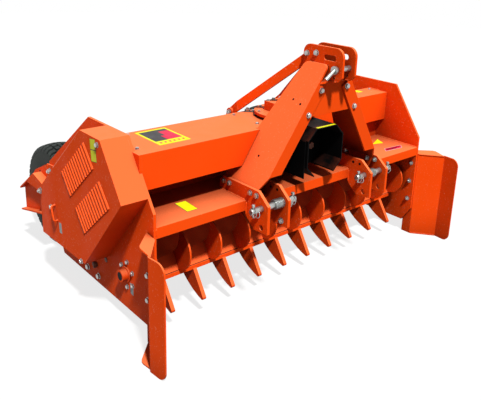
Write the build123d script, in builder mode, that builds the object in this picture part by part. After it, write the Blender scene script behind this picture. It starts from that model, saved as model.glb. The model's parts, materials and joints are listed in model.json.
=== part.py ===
"""A tractor-mounted pick-up mulcher on a three-point hitch.

X runs across the machine, -Y points to the tractor, Z is up and the ground is Z = 0.
The origin is on the ground, half way across the machine and half way along it.
Lengths are in millimetres.
"""
from build123d import *
from math import atan2, cos, degrees, hypot, radians, sin
import os

os.makedirs("parts", exist_ok=True)

# Overall layout
plate_gap = 1736.0         # clear width between the side plates
plate_t = 12.0
inner_x = plate_gap / 2
outer_x = inner_x + plate_t

# Side plates: front edge, top edge and the slope over the chamber
plate_front_y = -614.0
plate_bottom_z = 74.0
plate_chamfer_y, plate_chamfer_z = 56.0, 86.0
shoulder_z = 598.0
crown_front_y, crown_rear_y, crown_z = -425.0, -94.0, 872.0
tail_y, tail_top_z, tail_low_z, tail_foot_y = 363.0, 537.0, 300.0, 250.0

# Front beam, a folded plate between the side plates
beam_t = 10.0
beam_top_z = 539.0
beam_lip = 47.0

# Chamber over the rotor
sheet_t = 8.0
chamber_front_y, chamber_rear_y = -313.0, 208.0
chamber_low_z, chamber_rear_low_z, chamber_rear_top_z = 505.0, 150.0, 509.0
hood_top_z, hood_bend_y = 814.0, -229.0

# Boxes on the front of the chamber: the left one covers the cross shaft
box_t = 6.0
box_inner_x = 210.0
box_left_y, box_left_low_z = -518.0, 661.0
box_right_y, box_right_low_z = -367.0, 653.0
box_leg_gap = 6.0

# Rotor with hammers
rotor_y, rotor_z = -60.0, 345.0
drum_r, rotor_tip_r = 105.0, 245.0
drum_end_gap = 14.0
journal_r = 30.0
journal_gap = 0.3
journal_end = 6.0
hammer_count = 20
hammer_w, hammer_head_r = 46.0, 40.0
hammer_twist = 137.5
hammer_root = 6.0

# Bearings of the rotor, bolted on the outer faces of the side plates
bearing_flange_r, bearing_flange_t = 84.0, 14.0
bearing_boss_r, bearing_boss_l = 62.0, 44.0

# Rake: a tube with claws and a lip
rake_side_gap = 71.0       # what the claws leave free of the clear width
tooth_count = 10
tooth_t = 18.0
rake_tube_y, rake_tube_z, rake_tube_r = -388.0, 241.0, 45.0
rake_tube_wall = 8.0
lip_y, lip_z = -464.0, 222.0
lip_t, lip_h, lip_notch = 10.0, 20.0, 22.0
tooth_tip_y, tooth_tip_z, tooth_tip_w = -549.0, 78.0, 14.0
claw_back_y, claw_back_z = 18.0, 37.0
claw_neck_y, claw_neck_z = 12.0, 95.0
claw_bulge_y, claw_bulge_z = 90.0, 143.0
rake_flange_r, rake_flange_t = 36.0, 6.0
rake_stub_r, rake_stub_l = 27.0, 26.0

# Feed plate behind the lip, with crescent guides between the claws
feed_knee_y, feed_knee_z = -428.0, 288.0
feed_end_y, feed_end_z = -352.0, 344.0
guide_t = 8.0
guide_bulge_y, guide_bulge_z = -551.0, 368.0
guide_top_y, guide_top_z = -478.0, 422.0
guide_hollow_y, guide_hollow_z = -472.0, 360.0
guide_foot = 6.0

# Lower hitch ears
ear_t = 15.0
ear_inner, ear_outer = 281.0, 401.0
ear_nose_y, ear_nose_top_z, ear_nose_low_z = -754.0, 553.0, 424.0
ear_back_y, ear_top_z = -425.0, 605.0
ear_back_cut = 26.0
ear_top_front_y = -689.0
ear_chin_y, ear_chin_z, ear_low_z = -668.0, 419.0, 466.0
link_pin_y, link_pin_z, link_pin_r = -715.0, 535.0, 14.0
link_hole_z, link_hole_r = 446.0, 13.0
pin_gap = 0.3
sleeve_r, sleeve_share = 21.5, 52 / 105     # of the clear width between the ears
pin_end = 36.0
ring_r, ring_wire_r, ring_inset = 17.0, 2.2, 10.0

# Tower: two folded legs, a cross plate, a shelf and the top ears on the shelf
shelf_z, shelf_t = 1050.0, 10.0
leg_t = 10.0
leg_flange = 52.0
leg_top_front_y, leg_fold_front_y = -724.0, -694.0
leg_top_rear_y, leg_foot_rear_y = -588.0, -416.0
leg_over_shelf = 70.0
leg_fold_z = 596.0
leg_round = 26.0
leg_corner_z, leg_toe_y, leg_toe_z, leg_heel_y = 655.0, -664.0, 590.0, -650.0
leg_gap = 4.0
top_ear_x, top_ear_t, top_ear_h = 41.0, 12.0, 146.0
top_ear_front_y, top_ear_rear_y = -796.0, -560.0
top_ear_round, top_ear_cut = 40.0, 22.0
top_pin_y, top_pin_rise, top_pin_r, top_pin_end = -764.0, 54.0, 12.5, 18.0
top_collar_r, top_collar_l = 18.5, 8.0
top_grip_r, top_grip_l, top_grip_lean = 8.0, 64.0, 56.0
top_slot_y, top_slot_rise, top_slot_l, top_slot_r = -720.0, 100.0, 70.0, 12.5
top_hole_y, top_hole_rise, top_hole_r = -752.0, 20.0, 8.5
cross_h, cross_t = 147.0, 8.0

# Rear braces from the inner faces of the top ears to lugs on the rear slope of the chamber
brace_t, brace_w = 10.0, 42.0
brace_top_y, brace_top_rise = -590.0, 100.0
brace_bend, brace_foot_bend = 40.0, 45.0
brace_foot_x, brace_foot_y, brace_foot_rise = 150.0, -175.0, 28.0
lug_t, lug_r, lug_spread = 10.0, 22.0, 14.0

# Gearbox with its ring and cover, drive shaft stub and its shield
gear_half_w, gear_front_y, gear_low_z, gear_body_h = 108.0, -505.0, 606.0, 222.0
gear_round = 24.0
gear_ring_r, gear_ring_t = 150.0, 14.0
gear_cover_half_w, gear_cover_front_y, gear_cover_rear_y, gear_cover_h = 80.0, -478.0, -340.0, 59.0
gear_nose_r, gear_nose_l, gear_nose_root = 62.0, 14.0, 12.0
gear_seat_t = 10.0
shaft_z = 710.0
stub_r, stub_root_r, stub_l, stub_root_l, stub_groove_w = 17.5, 14.5, 95.0, 50.0, 9.5
stub_bore_l = 66.0
spline_count = 6
shield_half_w, shield_low_z, shield_top_z, shield_front_y = 118.0, 593.0, 826.0, -690.0
shield_corner, shield_t = 52.0, 5.0
cross_shaft_y, cross_shaft_z, cross_tube_r, cross_tube_l = -415.0, 737.0, 55.0, 6.0
cross_flange_r, cross_flange_t = 71.0, 14.0

# Belt guard on the left side plate
guard_depth, guard_t = 116.0, 4.0
guard_front_share = 0.80
guard_top_y = -254.0
guard_rear_top_y, guard_rear_top_z = 176.0, 505.0
guard_rear_y, guard_rear_mid_z, guard_rear_low_z = 209.0, 402.0, 243.0
guard_low_y, guard_low_z = -237.0, 261.0
guard_round = 8.0
louvre_rise, louvre_nose = 6.0, 6.0
louvre_slats, louvre_pitch, louvre_len, louvre_panel_t = 12, 26.0, 118.0, 1.5
louvre_run, louvre_fall = 242.0, 206.0
louvre_upper_y, louvre_upper_z = -287.0, 828.0
louvre_lower_y, louvre_lower_z = -408.0, 699.0
handle_y, handle_z, handle_l, handle_lean = 45.0, 439.0, 66.0, 24.0
handle_r, handle_rise, handle_round = 5.0, 18.0, 8.0

# Wings: bent plates on the outer faces of the side plates, with a lip behind the bent part
wing_depth, wing_t = 92.0, 6.0
wing_height = 499.0
wing_flange_rear_y, wing_root_y = -560.0, -617.0
wing_bend_y, wing_front_y = -731.0, -825.0
wing_toe_in = 9.0
wing_round = 43.0
wing_lip_w, wing_lip_cut, wing_lip_round = 49.0, 52.0, 36.0
wing_lip_tail, wing_lip_tail_w, wing_lip_tilt = 34.0, 37.0, 15.0

# Wheels on arms behind the side plates
wheel_r, wheel_w = 278.0, 172.0
wheel_gap = 52.0           # between the chamber and the tyres
wheel_inset = 48.0         # of the tyres from the outer faces of the side plates
tyre_bead_r, tyre_bead_share, tyre_crown = 122.0, 0.78, 10.0
rim_t, disc_t = 6.0, 10.0
axle_r, axle_collar_r, hub_r, hub_gap = 20.0, 34.0, 44.0, 0.4
axle_inner_l, axle_outer_gap = 22.0, 8.0
arm_t, arm_reach, arm_web_gap = 8.0, 52.0, 17.0
arm_front_y, arm_front_top_z, arm_front_low_z = 298.0, 530.0, 276.0
arm_shoulder_y, arm_shoulder_z = 372.0, 522.0
arm_back_y, arm_back_z = 539.0, 442.0
arm_tail, arm_rear_top_z, arm_rear_low_z = 123.0, 316.0, 182.0
arm_low_y, arm_low_z = 371.0, 257.0
arm_roof_y, arm_roof_z = 345.0, 431.0
arm_ridge_y, arm_ridge_z = 460.0, 455.0
arm_lip_front_y, arm_lip_rear_y, arm_lip_z = 354.0, 550.0, 379.0

tooth_pitch = (plate_gap - rake_side_gap) / tooth_count
shelf_low_z = shelf_z - shelf_t
leg_top_z = shelf_z + leg_over_shelf
top_ear_top_z = shelf_z + top_ear_h
top_pin_z = shelf_z + top_pin_rise
cross_low_z = shelf_low_z - cross_h
leg_top_x = top_ear_x + top_ear_t / 2
leg_foot_x = ear_outer - ear_t / 2 - leg_t
leg_slope = (leg_foot_x - leg_top_x) / (leg_top_z - leg_fold_z)
leg_across = leg_t * hypot(1, leg_slope)
hood_slope = (hood_top_z - chamber_rear_top_z) / (chamber_rear_y - hood_bend_y)
gear_top_z = gear_low_z + gear_body_h
guard_x = outer_x + guard_depth
wheel_y = chamber_rear_y + wheel_gap + wheel_r
wheel_outer_x = outer_x - wheel_inset
sides = ((-1, "left"), (1, "right"))


def leg_x(z):
    """Distance from the middle to the inner face of a sloping leg at height Z."""
    return leg_top_x + (leg_top_z - z) * leg_slope


def leg_front(z):
    """The front edge of the legs at height Z, which leans forward to the top."""
    share = (z - leg_fold_z) / (leg_top_z - leg_fold_z)
    return leg_fold_front_y + share * (leg_top_front_y - leg_fold_front_y)


def leg_rear(z):
    """The rear edge of the legs at height Z, which leans forward to the top."""
    share = (z - beam_top_z) / (leg_top_z - beam_top_z)
    return leg_foot_rear_y + share * (leg_top_rear_y - leg_foot_rear_y)


def hood_rear(y):
    """Height of the chamber's rear slope at Y."""
    return hood_top_z - (y - hood_bend_y) * hood_slope


def save(part, name):
    """Label one finished piece and write its STEP file."""
    part.label = name
    export_step(part, f"parts/{name}.step")


def at_x(x):
    """The plane across the machine at X, with sketch axes Y and Z."""
    return Plane.YZ.offset(x)


def at_y(y):
    """The plane along the machine at Y, with sketch axes X and Z."""
    return Plane(origin=(0, y, 0), x_dir=(1, 0, 0), z_dir=(0, -1, 0))


def outline(points):
    """Add a closed face through the points to the sketch."""
    with BuildLine() as line:
        Polyline(*points, close=True)
    make_face(line.edges())


def folded(points, thickness, side):
    """Add a sheet of even thickness along an open line to the sketch."""
    with BuildLine() as line:
        Polyline(*points)
        offset(amount=thickness, side=side)
    make_face(line.edges())


# Side plates
plate_points = (
    (plate_front_y + plate_chamfer_y, plate_bottom_z),
    (plate_front_y, plate_bottom_z + plate_chamfer_z),
    (plate_front_y, shoulder_z),
    (crown_front_y, crown_z),
    (crown_rear_y, crown_z),
    (tail_y, tail_top_z),
    (tail_y, tail_low_z),
    (tail_foot_y, plate_bottom_z),
)
for side, word in sides:
    with BuildPart() as side_plate:
        with BuildSketch(at_x(side * inner_x)):
            outline(plate_points)
            with Locations((rotor_y, rotor_z)):
                Circle(bearing_boss_r, mode=Mode.SUBTRACT)
        extrude(amount=side * plate_t)
    save(side_plate.part, f"side_plate_{word}")

# Front beam
beam_points = (
    (chamber_front_y, beam_top_z),
    (plate_front_y, beam_top_z),
    (plate_front_y, beam_top_z - beam_lip),
)
with BuildPart() as front_beam:
    with BuildSketch(at_x(-inner_x)):
        folded(beam_points, beam_t, Side.LEFT)
    extrude(amount=plate_gap)
save(front_beam.part, "front_beam")

# Chamber
chamber_points = (
    (chamber_front_y, chamber_low_z),
    (chamber_front_y, hood_top_z),
    (hood_bend_y, hood_top_z),
    (chamber_rear_y, chamber_rear_top_z),
    (chamber_rear_y, chamber_rear_low_z),
)
with BuildPart() as chamber:
    with BuildSketch(at_x(-inner_x)):
        folded(chamber_points, sheet_t, Side.RIGHT)
    extrude(amount=plate_gap)
save(chamber.part, "rotor_chamber")

# Boxes on the front of the chamber: the left one ends along the slope of its leg
def box_block(side, front, low, top, far_x, low_end, top_end):
    """A block from its front to the chamber, between an upright and a slanted end."""
    with BuildPart() as block:
        with BuildSketch(at_y(front)):
            outline((
                (side * far_x, low), (side * low_end, low),
                (side * top_end, top), (side * far_x, top),
            ))
        extrude(amount=front - chamber_front_y)
    return block.part


def behind_leg(block, clear):
    """The part of a block on the left that lies behind the leg, clear of its rear edge."""
    with BuildPart() as piece:
        add(block)
        with BuildSketch(at_x(0)):
            outline((
                (leg_rear(box_left_low_z) + clear, box_left_low_z),
                (leg_rear(hood_top_z) + clear, hood_top_z),
                (chamber_front_y, hood_top_z), (chamber_front_y, box_left_low_z),
            ))
        extrude(amount=-inner_x, mode=Mode.INTERSECT)
    return piece.part


left_end = [leg_x(z) + leg_across + leg_gap for z in (box_left_low_z, hood_top_z)]
bay_end_x = gear_half_w + cross_flange_t + cross_tube_l
for side, word, front, low, ends in (
    (-1, "left", box_left_y, box_left_low_z, left_end),
    (1, "right", box_right_y, box_right_low_z, (box_inner_x, box_inner_x)),
):
    low_end, top_end = ends
    inside = (front + box_t, low + box_t, hood_top_z - box_t)
    with BuildPart() as hood_box:
        add(box_block(side, front, low, hood_top_z, inner_x, low_end, top_end))
        if side < 0:
            bay = box_block(side, front, low, hood_top_z, bay_end_x, low_end, top_end)
            add(behind_leg(bay, box_leg_gap))
        add(
            box_block(side, *inside, inner_x - box_t, low_end + box_t, top_end + box_t),
            mode=Mode.SUBTRACT,
        )
        if side < 0:
            hollow = box_block(side, *inside, bay_end_x + box_t, low_end + box_t, top_end + box_t)
            add(behind_leg(hollow, box_leg_gap + box_t), mode=Mode.SUBTRACT)
    save(hood_box.part, f"hood_box_{word}")

# Rake: claws on a tube, with the lip in lengths between the guides
tooth_xs = [(i - (tooth_count - 1) / 2) * tooth_pitch for i in range(tooth_count)]
claw_points = (
    (lip_y, lip_z),
    (feed_knee_y, feed_knee_z),
    (rake_tube_y, rake_tube_z + rake_tube_r - 2),
    (rake_tube_y + claw_back_y, rake_tube_z - claw_back_z),
    (rake_tube_y - claw_neck_y, rake_tube_z - claw_neck_z),
)
with BuildPart() as rake:
    with BuildSketch(at_x(-inner_x)):
        with Locations((rake_tube_y, rake_tube_z)):
            Circle(rake_tube_r)
    extrude(amount=plate_gap)
    for x in tooth_xs:
        with BuildSketch(at_x(x - tooth_t / 2)):
            with BuildLine():
                Polyline(*claw_points)
                ThreePointArc(
                    claw_points[-1],
                    (rake_tube_y - claw_bulge_y, rake_tube_z - claw_bulge_z),
                    (tooth_tip_y + tooth_tip_w, tooth_tip_z),
                )
                ThreePointArc(
                    (tooth_tip_y + tooth_tip_w, tooth_tip_z),
                    (tooth_tip_y + tooth_tip_w * 0.1, tooth_tip_z + tooth_tip_w * 0.2),
                    (tooth_tip_y, tooth_tip_z + tooth_tip_w),
                )
                Line((tooth_tip_y, tooth_tip_z + tooth_tip_w), claw_points[0])
            make_face()
        extrude(amount=tooth_t)
        with BuildSketch(at_x(x - tooth_pitch / 2 + lip_notch / 2)):
            outline((
                (lip_y, lip_z), (lip_y, lip_z - lip_h),
                (lip_y - lip_t, lip_z - lip_h), (lip_y - lip_t, lip_z),
            ))
        extrude(amount=tooth_pitch - lip_notch)
    with BuildSketch(at_x(-inner_x)):
        with Locations((rake_tube_y, rake_tube_z)):
            Circle(rake_tube_r - rake_tube_wall)
    extrude(amount=plate_gap, mode=Mode.SUBTRACT)
save(rake.part, "pickup_rake")

for side, word in sides:
    with BuildPart() as rake_flange:
        with BuildSketch(at_x(side * outer_x)):
            with Locations((rake_tube_y, rake_tube_z)):
                Circle(rake_flange_r)
        extrude(amount=side * rake_flange_t)
        with BuildSketch(at_x(side * (outer_x + rake_flange_t))):
            with Locations((rake_tube_y, rake_tube_z)):
                Circle(rake_stub_r)
        extrude(amount=side * rake_stub_l)
    save(rake_flange.part, f"rake_flange_{word}")

# Feed plate with guides
feed_points = ((lip_y, lip_z), (feed_knee_y, feed_knee_z), (feed_end_y, feed_end_z))
guide_xs = [(i - tooth_count / 2) * tooth_pitch for i in range(tooth_count + 1)]
with BuildPart() as feed_plate:
    with BuildSketch(at_x(-inner_x)):
        folded(feed_points, sheet_t, Side.LEFT)
    extrude(amount=plate_gap)
    for x in guide_xs:
        with BuildSketch(at_x(x - guide_t / 2)):
            with BuildLine():
                ThreePointArc(
                    (lip_y - guide_foot, lip_z + guide_foot),
                    (guide_bulge_y, guide_bulge_z),
                    (guide_top_y, guide_top_z),
                )
                ThreePointArc(
                    (guide_top_y, guide_top_z),
                    (guide_hollow_y, guide_hollow_z),
                    (feed_knee_y, feed_knee_z + guide_foot),
                )
                Line((feed_knee_y, feed_knee_z + guide_foot), (lip_y - guide_foot, lip_z + guide_foot))
            make_face()
        extrude(amount=guide_t)
save(feed_plate.part, "feed_plate")

# Rotor
with BuildPart() as rotor:
    with BuildSketch(at_x(-inner_x + drum_end_gap)):
        with Locations((rotor_y, rotor_z)):
            Circle(drum_r)
    extrude(amount=plate_gap - 2 * drum_end_gap)
    journal_l = outer_x + bearing_boss_l + journal_end
    with BuildSketch(at_x(-journal_l)):
        with Locations((rotor_y, rotor_z)):
            Circle(journal_r)
    extrude(amount=2 * journal_l)
    for i in range(hammer_count):
        x = (i - (hammer_count - 1) / 2) * tooth_pitch / 2
        turn = radians(i * hammer_twist)
        reach = Vector(0, cos(turn), sin(turn))
        hub = Plane(origin=(x - hammer_w / 2, rotor_y, rotor_z), x_dir=reach, z_dir=(1, 0, 0))
        with BuildSketch(hub):
            head = rotor_tip_r - hammer_head_r
            with Locations((head, 0)):
                Circle(hammer_head_r)
            with Locations((head / 2 + drum_r / 2 - hammer_root, 0)):
                Rectangle(head - drum_r + 2 * hammer_root, hammer_head_r * 1.3)
        extrude(amount=hammer_w)
save(rotor.part, "rotor")

# Bearings
for side, word in sides:
    with BuildPart() as bearing:
        with BuildSketch(at_x(side * outer_x)):
            with Locations((rotor_y, rotor_z)):
                Circle(bearing_flange_r)
        extrude(amount=side * bearing_flange_t)
        with BuildSketch(at_x(side * outer_x)):
            with Locations((rotor_y, rotor_z)):
                Circle(bearing_boss_r)
        extrude(amount=side * bearing_boss_l)
        with BuildSketch(at_x(side * outer_x)):
            with Locations((rotor_y, rotor_z)):
                Circle(journal_r + journal_gap)
        extrude(amount=side * bearing_boss_l, mode=Mode.SUBTRACT)
    save(bearing.part, f"rotor_bearing_{word}")

# Lower hitch ears
ear_points = (
    (ear_back_y, beam_top_z),
    (ear_back_y, ear_top_z - ear_back_cut),
    (ear_back_y - ear_back_cut, ear_top_z),
    (ear_top_front_y, ear_top_z),
    (ear_nose_y, ear_nose_top_z),
    (ear_nose_y, ear_nose_low_z),
    (ear_chin_y, ear_chin_z),
    (plate_front_y, ear_low_z),
    (plate_front_y, beam_top_z),
)
for side, word in sides:
    for place, x in (("inner", ear_inner), ("outer", ear_outer)):
        with BuildPart() as ear:
            with BuildSketch(at_x(side * x - ear_t / 2)):
                outline(ear_points)
                with Locations((link_pin_y, link_pin_z)):
                    Circle(link_pin_r + pin_gap, mode=Mode.SUBTRACT)
                with Locations((link_pin_y, link_hole_z)):
                    Circle(link_hole_r, mode=Mode.SUBTRACT)
            extrude(amount=ear_t)
        save(ear.part, f"hitch_ear_{word}_{place}")

# Lower link pins with their sleeves and lynch rings
for side, word in sides:
    with BuildPart() as link_pin:
        pin_start = ear_inner - ear_t / 2 - pin_end
        pin_stop = ear_outer + ear_t / 2 + pin_end
        with BuildSketch(at_x(side * pin_start)):
            with Locations((link_pin_y, link_pin_z)):
                Circle(link_pin_r)
        extrude(amount=side * (pin_stop - pin_start))
        with BuildSketch(at_x(side * (ear_inner + ear_t / 2 + pin_gap))):
            with Locations((link_pin_y, link_pin_z)):
                Circle(sleeve_r)
        extrude(amount=side * (ear_outer - ear_inner - ear_t) * sleeve_share)
        for x in (pin_start + ring_inset, pin_stop - ring_inset):
            with Locations(Location((side * x, link_pin_y, link_pin_z - ring_r), (0, 90, 0))):
                Torus(ring_r, ring_wire_r)
    save(link_pin.part, f"lower_link_pin_{word}")

# Tower legs: a folded section along the machine, cut to its outline from the side
def front_strip(low_z, top_z, near, far):
    """A strip along the front edge of the legs, between two distances behind it."""
    outline((
        (leg_front(low_z) + near, low_z), (leg_front(top_z) + near, top_z),
        (leg_front(top_z) + far, top_z), (leg_front(low_z) + far, low_z),
    ))


leg_side_points = (
    (leg_front(leg_corner_z), leg_corner_z),
    (leg_top_front_y, leg_top_z),
    (leg_top_rear_y, leg_top_z),
    (leg_foot_rear_y, beam_top_z),
    (leg_heel_y, beam_top_z),
    (leg_toe_y, leg_toe_z),
)
for side, word in sides:
    leg_line = (
        (side * leg_top_x, leg_top_z),
        (side * leg_foot_x, leg_fold_z),
        (side * leg_foot_x, beam_top_z),
    )
    lip_line = (
        (side * leg_x(shelf_low_z), shelf_low_z),
        (side * leg_x(leg_corner_z), leg_corner_z),
    )
    outward = Side.RIGHT if side < 0 else Side.LEFT
    inward = Side.LEFT if side < 0 else Side.RIGHT
    with BuildPart() as leg_lip:
        with BuildSketch(at_y(leg_top_front_y)):
            folded(lip_line, leg_flange, inward)
        extrude(amount=leg_top_front_y - leg_foot_rear_y)
        with BuildSketch(at_x(0)):
            front_strip(leg_corner_z, shelf_low_z, 0, leg_t)
        extrude(amount=side * ear_outer, mode=Mode.INTERSECT)
    with BuildPart() as leg:
        with BuildSketch(at_y(leg_top_front_y)):
            folded(leg_line, leg_t, outward)
        extrude(amount=leg_top_front_y - leg_foot_rear_y)
        with BuildSketch(at_x(0)) as leg_side:
            outline(leg_side_points)
            fillet(leg_side.vertices().group_by(Axis.Y)[-1], leg_round)
        extrude(amount=side * ear_outer, mode=Mode.INTERSECT)
        add(leg_lip.part)
    save(leg.part, f"leg_{word}")

# Cross plate behind the flanges of the legs
with BuildPart() as cross_plate:
    with BuildSketch(at_y(leg_top_front_y)):
        outline((
            (-leg_x(cross_low_z), cross_low_z), (leg_x(cross_low_z), cross_low_z),
            (leg_x(shelf_low_z), shelf_low_z), (-leg_x(shelf_low_z), shelf_low_z),
        ))
    extrude(amount=leg_top_front_y - leg_foot_rear_y)
    with BuildSketch(at_x(-ear_outer)):
        front_strip(cross_low_z, shelf_low_z, leg_t, leg_t + cross_t)
    extrude(amount=2 * ear_outer, mode=Mode.INTERSECT)
save(cross_plate.part, "cross_plate")

# Head bracket: a shelf between the legs that carries the top ears
with BuildPart() as head_bracket:
    with BuildSketch(at_y(leg_top_front_y)):
        outline((
            (-leg_x(shelf_low_z), shelf_low_z), (leg_x(shelf_low_z), shelf_low_z),
            (leg_x(shelf_z), shelf_z), (-leg_x(shelf_z), shelf_z),
        ))
    extrude(amount=leg_top_front_y - top_ear_rear_y)
save(head_bracket.part, "head_bracket")

# Top ears with a slot, a pin bore and a spare hole
top_ear_points = (
    (top_ear_rear_y, shelf_z),
    (top_ear_rear_y, top_ear_top_z),
    (top_ear_front_y, top_ear_top_z),
    (top_ear_front_y, shelf_z + top_ear_cut),
    (top_ear_front_y + top_ear_cut, shelf_z),
)
for side, word in sides:
    with BuildPart() as top_ear:
        with BuildSketch(at_x(side * top_ear_x - top_ear_t / 2)) as ear_face:
            outline(top_ear_points)
            fillet(ear_face.vertices().group_by(Axis.Y)[-1], top_ear_round)
            with Locations((top_slot_y, shelf_z + top_slot_rise)):
                SlotCenterToCenter(top_slot_l - 2 * top_slot_r, 2 * top_slot_r, mode=Mode.SUBTRACT)
            with Locations((top_pin_y, top_pin_z)):
                Circle(top_pin_r + pin_gap, mode=Mode.SUBTRACT)
            with Locations((top_hole_y, shelf_z + top_hole_rise)):
                Circle(top_hole_r, mode=Mode.SUBTRACT)
        extrude(amount=top_ear_t)
    save(top_ear.part, f"top_ear_{word}")

# Top link pin with a collar and a leaning grip
pin_half = top_ear_x + top_ear_t / 2 + top_pin_end
grip_turn = radians(top_grip_lean)
with BuildPart() as top_link_pin:
    with BuildSketch(at_x(-pin_half)):
        with Locations((top_pin_y, top_pin_z)):
            Circle(top_pin_r)
    extrude(amount=2 * pin_half)
    with BuildSketch(at_x(-pin_half)):
        with Locations((top_pin_y, top_pin_z)):
            Circle(top_collar_r)
    extrude(amount=top_collar_l)
    grip_root = (-pin_half + top_collar_l / 2, top_pin_y, top_pin_z)
    grip_way = (-sin(grip_turn), 0, -cos(grip_turn))
    with BuildSketch(Plane(origin=grip_root, z_dir=grip_way)):
        Circle(top_grip_r)
    extrude(amount=top_grip_l)
save(top_link_pin.part, "top_link_pin")

# Rear braces: a bar bent twice, cut to a slanted band from the side
brace_top_x = top_ear_x - top_ear_t / 2
brace_top_z = shelf_z + brace_top_rise
brace_foot_z = hood_rear(brace_foot_y) + brace_foot_rise
for side, word in sides:
    brace_line = (
        (side * brace_top_x, brace_top_y - brace_w / 2),
        (side * brace_top_x, brace_top_y + brace_bend),
        (side * brace_foot_x, brace_foot_y - brace_foot_bend),
        (side * brace_foot_x, brace_foot_y + brace_w / 2),
    )
    inward = Side.RIGHT if side < 0 else Side.LEFT
    run = Vector(brace_foot_y - brace_top_y, brace_foot_z - brace_top_z, 0)
    with BuildPart() as brace:
        with BuildSketch(Plane.XY.offset(hood_rear(brace_foot_y))):
            folded(brace_line, brace_t, inward)
        extrude(amount=top_ear_top_z - hood_rear(brace_foot_y))
        with BuildSketch(at_x(0)):
            with Locations(Location((
                (brace_foot_y + brace_top_y) / 2, (brace_foot_z + brace_top_z) / 2, 0,
            ), (0, 0, degrees(atan2(run.Y, run.X))))):
                SlotCenterToCenter(run.length, brace_w)
        extrude(amount=side * (brace_foot_x + 2 * brace_t), mode=Mode.INTERSECT)
    save(brace.part, f"rear_brace_{word}")

    lug_front, lug_rear = brace_foot_y - lug_r, brace_foot_y + lug_r
    with BuildPart() as lug:
        with BuildSketch(at_x(side * brace_foot_x)):
            with Locations((brace_foot_y, brace_foot_z)):
                Circle(lug_r)
            outline((
                (lug_front, brace_foot_z), (lug_rear, brace_foot_z),
                (lug_rear + lug_spread, hood_rear(lug_rear + lug_spread)),
                (lug_front - lug_spread, hood_rear(lug_front - lug_spread)),
            ))
        extrude(amount=side * lug_t)
    save(lug.part, f"brace_lug_{word}")

# Gearbox on its seat, with a ring and a cover on top and the tube of the cross shaft
gear_mid_y = (gear_front_y + chamber_front_y) / 2
with BuildPart() as gear_seat:
    with Locations((0, gear_mid_y, gear_low_z - gear_seat_t / 2)):
        Box(2 * box_inner_x, chamber_front_y - gear_front_y, gear_seat_t)
save(gear_seat.part, "gearbox_seat")

with BuildPart() as gearbox:
    with BuildSketch(Plane.XY.offset(gear_low_z)):
        with Locations((0, gear_mid_y)):
            RectangleRounded(2 * gear_half_w, chamber_front_y - gear_front_y, gear_round)
    extrude(amount=gear_body_h)
    with BuildSketch(Plane.XY.offset(gear_top_z)):
        with Locations((0, gear_mid_y)):
            Circle(gear_ring_r)
    extrude(amount=gear_ring_t)
    with BuildSketch(Plane.XY.offset(gear_top_z)):
        with Locations((0, (gear_cover_front_y + gear_cover_rear_y) / 2)):
            RectangleRounded(
                2 * gear_cover_half_w, gear_cover_rear_y - gear_cover_front_y, gear_round / 3,
            )
    extrude(amount=gear_cover_h)
    with BuildSketch(at_y(gear_front_y + gear_nose_root)):
        with Locations((0, shaft_z)):
            Circle(gear_nose_r)
    extrude(amount=gear_nose_root + gear_nose_l)
    with BuildSketch(at_y(gear_front_y - gear_nose_l)):
        with Locations((0, shaft_z)):
            Circle(stub_r + pin_gap)
    extrude(amount=-gear_nose_l - stub_bore_l, mode=Mode.SUBTRACT)
    with BuildSketch(at_x(-gear_half_w)):
        with Locations((cross_shaft_y, cross_shaft_z)):
            Circle(cross_flange_r)
    extrude(amount=-cross_flange_t)
save(gearbox.part, "gearbox")

with BuildPart() as cross_tube:
    with BuildSketch(at_x(-gear_half_w - cross_flange_t)):
        with Locations((cross_shaft_y, cross_shaft_z)):
            Circle(cross_tube_r)
    extrude(amount=-cross_tube_l)
save(cross_tube.part, "cross_shaft_tube")

# Drive shaft stub with splines
with BuildPart() as stub:
    with BuildSketch(at_y(gear_front_y + stub_root_l)):
        with Locations((0, shaft_z)):
            Circle(stub_r)
            with PolarLocations(stub_r, spline_count):
                Rectangle(2 * (stub_r - stub_root_r), stub_groove_w, mode=Mode.SUBTRACT)
    extrude(amount=stub_l + stub_root_l)
save(stub.part, "pto_stub")

# Shield around the stub: an eight-sided tube without its bottom face
with BuildPart() as shield:
    with BuildSketch(at_y(shield_front_y)) as shield_face:
        with Locations((0, (shield_low_z + shield_top_z) / 2)):
            Rectangle(2 * shield_half_w, shield_top_z - shield_low_z)
        chamfer(shield_face.vertices(), shield_corner)
        offset(amount=-shield_t, mode=Mode.SUBTRACT)
        with Locations((0, shield_low_z)):
            Rectangle(2 * (shield_half_w - shield_corner), 4 * shield_t, mode=Mode.SUBTRACT)
    extrude(amount=shield_front_y - gear_front_y)
save(shield.part, "pto_shield")

# Belt guard: a closed cover on the left side plate
def on_plate_edge(share):
    """A point on the front slope of the side plate, by its share of the way down."""
    return (
        crown_front_y + share * (plate_front_y - crown_front_y),
        crown_z + share * (shoulder_z - crown_z),
    )


guard_points = (
    (guard_top_y, crown_z),
    (crown_front_y, crown_z),
    on_plate_edge(guard_front_share),
    (guard_low_y, guard_low_z),
    (guard_rear_y, guard_rear_low_z),
    (guard_rear_y, guard_rear_mid_z),
    (guard_rear_top_y, guard_rear_top_z),
)
with BuildPart() as guard:
    with BuildSketch(at_x(-outer_x)) as guard_face:
        outline(guard_points)
        fillet(guard_face.vertices().sort_by(Axis.X)[-1], guard_round)
    extrude(amount=-guard_depth)
    offset(amount=-guard_t, openings=guard.faces().sort_by(Axis.X)[-1])
save(guard.part, "belt_guard")

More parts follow.
